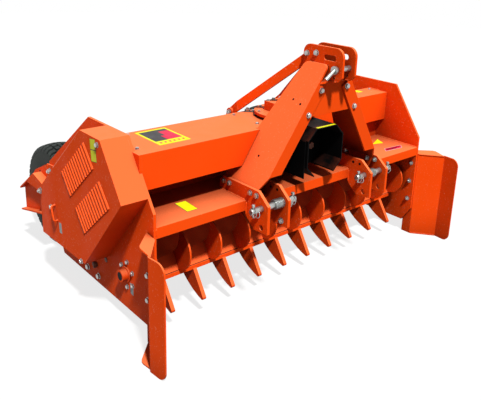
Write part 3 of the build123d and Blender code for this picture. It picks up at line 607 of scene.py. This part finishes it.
def tyre_profile(crown):
    """The tyre's section as (share of half the width, radius, kind), from one bead round to the other."""
    bead = 122.0
    half = [
        (0.76, bead + 2, PLAIN), (0.83, bead + 6, PLAIN), (0.88, bead + 14, PLAIN), (0.90, bead + 22, PLAIN),
        (0.925, bead + 24, PLAIN), (0.94, bead + 30, PLAIN), (0.965, bead + 44, PLAIN), (0.985, bead + 60, PLAIN),
        (0.998, bead + 78, PLAIN), (1.0, bead + 92, PLAIN), (0.992, bead + 104, PLAIN), (0.994, bead + 108, PLAIN),
        (0.975, bead + 111, PLAIN), (0.975, bead + 116, PLAIN),
        (0.985, bead + 122, SHOULDER), (0.965, bead + 134, SHOULDER), (0.93, crown - 20, SHOULDER),
        (0.88, crown - 14, SHOULDER), (0.80, crown - 9.5, SHOULDER), (0.62, crown - 5.0, SHOULDER),
        (0.565, crown - 4.4, SHOULDER),
        (0.550, crown - 15, PLAIN), (0.475, crown - 14.5, PLAIN),
        (0.460, crown - 3.0, RIB), (0.33, crown - 1.6, RIB), (0.20, crown - 0.7, RIB),
        (0.185, crown - 13.5, PLAIN), (0.115, crown - 13.3, PLAIN),
        (0.100, crown - 0.3, MIDDLE), (0.0, crown, MIDDLE),
    ]
    mirrored = [(-w, r, kind) for w, r, kind in reversed(half[:-1])]
    inside = [(-0.74, bead + 3, PLAIN), (-0.70, bead + 12, PLAIN), (0.70, bead + 12, PLAIN), (0.74, bead + 3, PLAIN)]
    return half + mirrored + inside


def groove_depth(w, kind):
    """How deep the grooves across the tread cut into a point of the profile."""
    if kind == SHOULDER:
        return 11.0 if abs(w) < 0.95 else 5.5
    return {PLAIN: 0.0, RIB: 9.0, MIDDLE: 6.0}[kind]


def lathed_tyre(name, node, body):
    """A tyre with its tread, in the place and size of a CAD node that it replaces."""
    low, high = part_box(node)
    mid = middle(node)
    half_w = (high[0] - low[0]) / 2 / MM
    profile = tyre_profile((high[2] - low[2]) / 2 / MM)
    pitches = 42
    bm = bmesh.new()
    rings = []
    for k in range(pitches):
        for share, cut in ((0.0, 0), (0.31, 0), (0.62, 0), (0.67, 1), (0.95, 1)):
            corners = []
            for w, r, kind in profile:
                lag = 0.5 if (kind == RIB and w > 0) or (kind == SHOULDER and w < 0) else 0.0
                sway = 0.10 * math.sin(w * 14.0) if kind == MIDDLE else 0.0
                angle = 2 * math.pi * (k + share + lag + sway) / pitches
                y, z = around(angle, r - cut * groove_depth(w, kind))
                corners.append(bm.verts.new(((mid[0] + w * half_w) * MM, (mid[1] + y) * MM, (mid[2] + z) * MM)))
            rings.append(corners)
    for a, b in zip(rings, rings[1:] + rings[:1]):
        for i in range(len(profile)):
            j = (i + 1) % len(profile)
            bm.faces.new((a[i], a[j], b[j], b[i]))
    obj = piece(name, bm, "tyre", body)
    smooth(obj)
    obj.data.set_sharp_from_angle(angle=math.radians(32))
    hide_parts(node)


for side, word in sides:
    lathed_tyre("tread_" + word, "tyre_" + word, "wheel_" + word)


# Weld beads along the joints of the frame
bm = bmesh.new()
for side in (-1, 1):
    # side plate with the beam, the hood's top and slope, and the rake's flange
    x = side * plate_inner_x
    weld(bm, (x, -608, beam_z), (x, -320, beam_z), (-side, 0, 1), 4)
    weld(bm, (x, -612, 500), (x, -612, 535), (-side, -1, 0), 4)
    weld(bm, (x, -312, hood_z), (x, -232, hood_z), (-side, 0, 1), 4)
    weld(bm, (x, -226, 812), (x, 204, 512), (-side, 0, 1), 4)
    weld(bm, (x, -392, 287), (x, -355, 262), (-side, 0, 0), 4)
    # lower ears on the beam
    for ear_x in ear_xs:
        for face in (-1, 1):
            x = side * ear_x + face * ear_half
            weld(bm, (x, -608, beam_z), (x, -432, beam_z), (face, 0, 1), 3.6)
            weld(bm, (x, -614, 470), (x, -614, 532), (face, -1, 0), 3.6)
    # head bracket and top ears
    for x in (side * 43, side * 55):
        weld(bm, (x, -710, 1050), (x, -592, 1050), (-side, 0, 1), 3.0)
    for face in (-1, 1):
        x = side * top_ear_x + face * top_ear_half
        weld(bm, (x, -765, 1050), (x, -566, 1050), (face, 0, 1), 3.0)
    # wing, lugs of the braces and wheel arm
    weld(bm, (side * 886, -612, 60), (side * 886, -612, 480), (side, 1, 0), 2.6, 7)
    for face in (-1, 1):
        x = side * 145 + face * 5
        weld(bm, (x, -208, 800), (x, -142, 754), (face, 0, 1), 2.6)
    weld(bm, (side * arm_x, 365, 527), (side * arm_x, 365, 300), (side, 1, 0), 3.4)
claw_foot = [around(math.radians(degrees), 46) for degrees in (-80, -55, -30, 0, 30, 60)]
for i in range(10):
    for face in (-1, 1):
        x = (i - 4.5) * tooth_pitch + face * 9
        arc = [(x, rake_y + y, rake_z + z) for y, z in claw_foot]
        for start, end in zip(arc, arc[1:]):
            weld(bm, start, end, (face, 0, 0), 2.8, 6)
for i in range(11):
    for face in (-1, 1):
        x = (i - 5) * tooth_pitch + face * 4
        weld(bm, (x, -466, 226), (x, -432, 288), (face, -1, 0), 2.4, 6)
smooth(piece("weld_beads", bm, "orange_paint"))


# Labels: blank plates, each with the fields that lie on it as (u0, v0, u1, v1, material)
def sticker(name, corners, normal, ground, fields=()):
    """A blank label: its ground first, then its fields, placed by shares of its two sides."""
    bm = bmesh.new()
    slab(bm, corners, normal, 0.5)
    piece(name, bm, "orange_paint", mat=ground)
    c = [Vector(q) for q in corners]
    lift = Vector(normal).normalized() * 0.45

    def at(u, v):
        return (c[0] * (1 - u) + c[1] * u) * (1 - v) + (c[3] * (1 - u) + c[2] * u) * v + lift

    for k, (u0, v0, u1, v1, mat) in enumerate(fields):
        bm = bmesh.new()
        slab(bm, [at(u0, v0), at(u1, v0), at(u1, v1), at(u0, v1)], normal, 0.4)
        piece(name + "_field_" + str(k + 1), bm, "orange_paint", mat=mat)


def on_top(name, z, places, ground, fields=()):
    """A label on a level face at height z."""
    sticker(name, [(x, y, z) for x, y in places], UP, ground, fields)


def on_left(name, x, places, ground, fields=()):
    """A label on an upright face that looks left, at x."""
    sticker(name, [(x, y, z) for y, z in places], LEFT, ground, fields)


bordered = ((0.03, 0.03, 0.97, 0.97, YELLOW),)
on_top("label_hood", hood_z, ((-745, -252), (-592, -252), (-594, -458), (-747, -458)), YELLOW, (
    (0.07, 0.07, 0.93, 0.20, CHARCOAL), (0.07, 0.20, 0.60, 0.48, CHARCOAL), (0.07, 0.48, 0.46, 0.76, CHARCOAL),
    (0.60, 0.20, 0.93, 0.48, ROSE), (0.46, 0.48, 0.93, 0.76, ROSE),
) + tuple((0.10 + 0.145 * k, 0.845, 0.17 + 0.145 * k, 0.915, ROSE) for k in range(6)))
on_top("label_beam_left", beam_z, ((-678, -457), (-624, -460), (-630, -562), (-684, -560)), CHARCOAL, (
    (0.03, 0.02, 0.97, 0.98, YELLOW),
))
on_top("label_beam_right", beam_z, ((701, -424), (804, -379), (772, -446)), YELLOW)
on_top("label_beam_edge", beam_z, ((690, -516), (826, -530), (791, -564), (659, -551)), GREY, (
    (0.03, 0.10, 0.97, 0.90, ROSE), (0.08, 0.25, 0.92, 0.42, GREY), (0.08, 0.58, 0.70, 0.75, GREY),
))
on_top("label_hood_right", hood_z, ((712, -236), (752, -236), (752, -282), (712, -282)), YELLOW)
sticker("label_arm", [(-896, 352, 432.5), (-912, 352, 432.5), (-912, 370, 436.3), (-896, 370, 436.3)],
        (0, -0.2, 0.98), YELLOW)
on_left("label_guard_grey", guard_x, ((12, 366), (-12, 368), (-16, 318), (8, 316)), GREY)
on_left("label_plate_grey", -plate_x, ((-418, 212), (-442, 209), (-444, 160), (-420, 163)), GREY)
on_left("label_guard_upper", guard_x, ((-341, 859), (-386, 866), (-390, 822), (-345, 815)), CHARCOAL, bordered)
on_left("label_guard_lower", guard_x, ((-345, 814), (-390, 821), (-394, 772), (-349, 765)), CHARCOAL, bordered)


# Black discs in the bores of the rake's stubs, the legs, the inner ears and the wheel arms: painted shade inside the
# bores
bm = bmesh.new()
for side in (-1, 1):
    out = (side, 0, 0)
    turned(bm, (side * 912, rake_y, rake_z), out, 28, (-0.5, 19), (0.5, 19), (0.8, 18))
    for x, y, z in ((160, -623, 962), (167, -674, 951), (317, -582, 718)):
        turned(bm, (side * x, y, z), (side * 0.841, 0, 0.540), 18, (-0.5, 5.5), (0.5, 5.5), (0.7, 5.2))
    for face in (1, -1):
        for y in ear_row_y:
            place = (side * (ear_xs[0] + face * ear_half), y, ear_row_z)
            turned(bm, place, (side * face, 0, 0), 18, (-0.5, 6.5), (0.4, 6.5), (0.6, 6.1))
    turned(bm, (side * arm_x, 471.0, 449.1), out, 22, (-0.5, 10), (0.5, 10), (0.7, 9.4))
piece("painted_bore_shade", bm, "shield_plastic")

# A bolt in a spare hole, and the ribs and ends of the lower pins
bm = bmesh.new()
bolt(bm, (-ear_xs[0] - ear_half, link_y, spare_z), LEFT, 13, True)
bolt(bm, (-ear_xs[0] + ear_half, link_y, spare_z), RIGHT, 13)
for side in (-1, 1):
    for k in range(7):
        place = (side * (292 + 7.2 * k), link_y, link_z)
        turned(bm, place, (side, 0, 0), 28, (0, 20), (0.6, 23.4), (3.4, 23.4), (4, 20))
    for ear_x, face in zip(ear_xs, (-1, 1)):
        place = (side * (ear_x + face * (ear_half + 36)), link_y, link_z)
        turned(bm, place, (side * face, 0, 0), 24, (-2, 13.9), (22, 13.9), (26, 11.5))
piece("pin_ribs", bm, "zinc")


# Bars that close the lip in front of the guides, and the hood's end over the edge of the left side plate
bm = bmesh.new()
lip_y, lip_low_z, lip_high_z, bar_half = -473.8, 202.2, 221.8, 11.2
for i in range(11):
    low_x = (i - 5) * tooth_pitch - bar_half
    high_x = low_x + 2 * bar_half
    corners = ((low_x, lip_low_z), (high_x, lip_low_z), (high_x, lip_high_z), (low_x, lip_high_z))
    slab(bm, [(x, lip_y, z) for x, z in corners], BACK, 9.6)
slab(bm, [(-plate_inner_x, y, z) for y, z in ((-518, hood_z), (-466, hood_z), (-518, 739))], LEFT, 12)
piece("lip_and_hood_ends", bm, "orange_paint")

# A thin pale strip along the rear edge of the belt guard: a painted highlight on its fold
bm = bmesh.new()
slab(bm, [(guard_x + 1, y, z) for y, z in ((44.2, 622.2), (-236.9, 860.0), (-239.1, 857.2), (42.0, 619.4))], LEFT, 0.5)
piece("guard_fold_highlight", bm, "orange_paint", mat=FOLD_HIGHLIGHT)


# Rear wall: a hinge line at the bend, stiffening bars and a lower edge with bolts
def rear_plate(bm, low_x, high_x, top_z, low_z, thick):
    """A plate on the rear wall."""
    corners = ((low_x, top_z), (high_x, top_z), (high_x, low_z), (low_x, low_z))
    slab(bm, [(x, rear_y, z) for x, z in corners], BACK, thick)


slope = (0, 0.57, 0.82)
hinge_y, hinge_z, hinge_r = 216, 511, 9.5
hinge_xs = [-760 + 217 * k for k in range(8)]
bm = bmesh.new()
for x in hinge_xs:
    turned(bm, (x - 45, hinge_y, hinge_z), RIGHT, 20, (0, hinge_r), (28, hinge_r))
    turned(bm, (x - 15, hinge_y, hinge_z), RIGHT, 20, (0, hinge_r), (60, hinge_r))
    rear_plate(bm, x - 15, x + 45, 509, 462, 5)
    slab(bm, [(x - 45, rear_y, 509), (x - 17, rear_y, 509), (x - 17, 176, 531.5), (x - 45, 176, 531.5)], slope, 5)
for x in (-560, -190, 190, 560):
    rear_plate(bm, x - 24, x + 24, 448, 186, 6)
rear_plate(bm, -862, 862, 184, 152, 8)
piece("rear_hinge_and_bars", bm, "orange_paint", bevel=0.8)
bm = bmesh.new()
for x in hinge_xs:
    rod(bm, [(x - 52, hinge_y, hinge_z), (x + 52, hinge_y, hinge_z)], 4.5, 12)
    bolt(bm, (x + 2, 213, 476), BACK, 8)
    bolt(bm, (x + 28, 213, 476), BACK, 8)
    bolt(bm, (x - 31, 196, 523.5), slope, 8)
for k in range(9):
    bolt(bm, (-800 + 200 * k, 216, 168), BACK, 10)
piece("rear_bolts", bm, "zinc")

# A clamp and a plug low on the left side plate
bm = bmesh.new()
for places, thick in (
    (((-118, 176), (-84, 170), (-86, 154), (-120, 160)), 12),
    (((-112, 172), (-104, 172), (-104, 150), (-112, 150)), 17),
):
    slab(bm, [(-plate_x, y, z) for y, z in places], LEFT, thick)
turned(bm, (-plate_x, -206, 231), LEFT, 24, (-0.5, 13), (2, 13), (3, 11))
piece("plate_clamp", bm, "dark_steel", bevel=1.0)

# Lynch pins with their rings, through the ends of the lower pins
bm = bmesh.new()
for side in (-1, 1):
    for ear_x, face in zip(ear_xs, (-1, 1)):
        x = side * (ear_x + face * (ear_half + 48))
        rod(bm, [(x, link_y, link_z - 27), (x, link_y, link_z + 25)], 4.5, 10)
        turned(bm, (x, link_y, link_z + 20), UP, 14, (0, 4.5), (2, 8), (10, 8), (12, 5))
        turns = [2 * math.pi * k / 28 for k in range(29)]
        rod(bm, [
            (x + 3 * math.cos(t), link_y + 21 * math.sin(t), link_z - 6 + 21 * math.cos(t)) for t in turns
        ], 1.7, 6)
piece("lynch_pins", bm, "zinc")

# Plugs on the gearbox
bm = bmesh.new()
for place, axis in (((-70, -505, 640), FRONT), ((70, -505, 660), FRONT), ((108, gearbox_y, 700), RIGHT)):
    bolt(bm, place, axis, 13)
piece("oil_plugs", bm, "zinc")


# Shield: a back wall round the stub, a yellow strip on its top edge and a hinged flap on its left face
back_y, hole_r = -548, 54
bm = bmesh.new()
rim = [(-60, 820), (60, 820), (112, 768), (112, 651), (60, 599), (-60, 599), (-112, 651), (-112, 768)]
hole = [around(math.atan2(z - drive_z, x), hole_r) for x, z in rim]
for k in range(8):
    j = (k + 1) % 8
    corners = (rim[k], rim[j], (hole[j][0], drive_z + hole[j][1]), (hole[k][0], drive_z + hole[k][1]))
    slab(bm, [(x, back_y, z) for x, z in corners], BACK, 3)
piece("shield_back", bm, "shield_plastic")
bm = bmesh.new()
slab(bm, [(-60, -689, 826), (60, -689, 826), (60, -676, 826), (-60, -676, 826)], UP, 0.8)
piece("shield_strip", bm, "shield_plastic", mat=YELLOW)
bm = bmesh.new()
slab(bm, [(-118, y, z) for y, z in ((-676, 772), (-512, 772), (-512, 592), (-676, 592))], LEFT, 5)
for y in (-652, -592):
    turned(bm, (-121, y, 772), BACK, 12, (0, 6), (24, 6))
piece("shield_flap", bm, "shield_plastic", bevel=1.0)


# Floor and light

def white_for_view(tree):
    """A mask that is 1 for what the camera, a mirror or a glass looks at."""
    rays = tree.nodes.new("ShaderNodeLightPath")
    mask = rays.outputs["Is Camera Ray"]
    for kind in ("Is Glossy Ray", "Is Transmission Ray"):
        either = tree.nodes.new("ShaderNodeMath")
        either.operation = "MAXIMUM"
        tree.links.new(mask, either.inputs[0])
        tree.links.new(rays.outputs[kind], either.inputs[1])
        mask = either.outputs[0]
    return mask


def choose(tree, plain, seen):
    """One shader for the light on the object, another for what is looked at."""
    chooser = tree.nodes.new("ShaderNodeMixShader")
    tree.links.new(white_for_view(tree), chooser.inputs[0])
    tree.links.new(plain.outputs[0], chooser.inputs[1])
    tree.links.new(seen.outputs[0], chooser.inputs[2])
    return chooser.outputs[0]


def floor_material():
    """A grey floor that gives little light back, but looks near white and keeps the shadow."""
    shader = Shader("floor")
    drift = shader.ramp(shader.noise(1.4, 2.0, 0.5), "Fac", (0.3, 0.0), (0.7, 1.0))
    shader.base(shader.mix(FLOOR_LOW, FLOOR_HIGH, drift))
    shader.bsdf.inputs["Roughness"].default_value = 0.9
    shader.specular(0.1)
    pale = shader.add("ShaderNodeEmission")
    pale.inputs["Strength"].default_value = 0.78
    lifted = shader.add("ShaderNodeAddShader")
    shader.link(shader.bsdf, 0, lifted, 0)
    shader.link(pale, 0, lifted, 1)
    shader.tree.links.new(choose(shader.tree, shader.bsdf, lifted), shader.out.inputs["Surface"])
    return shader.mat


def background(tree, strength):
    """An even white all round."""
    node = tree.nodes.new("ShaderNodeBackground")
    node.inputs["Color"].default_value = (1, 1, 1, 1)
    node.inputs["Strength"].default_value = strength
    return node


bpy.ops.mesh.primitive_circle_add(vertices=64, radius=12.0, fill_type="NGON", location=(0, 0, 0))
floor = bpy.context.object
floor.name = "floor"
floor.data.materials.append(floor_material())

world = bpy.data.worlds.new("studio")
world.use_nodes = True
tree = world.node_tree
tree.nodes.clear()
world_out = tree.nodes.new("ShaderNodeOutputWorld")
tree.links.new(choose(tree, background(tree, 0.16), background(tree, 1.0)), world_out.inputs["Surface"])
bpy.context.scene.world = world

# The sun stands where the photograph's shadows put it
sun_direction = Vector((0.19, 0.51, -0.84))
key = bpy.data.lights.new("key", "SUN")
key.energy = 4.9
key.angle = math.radians(4.0)
key_obj = bpy.data.objects.new("key", key)
key_obj.rotation_euler = sun_direction.to_track_quat("-Z", "Y").to_euler()
bpy.context.scene.collection.objects.link(key_obj)

bpy.context.scene.view_settings.view_transform = "Standard"
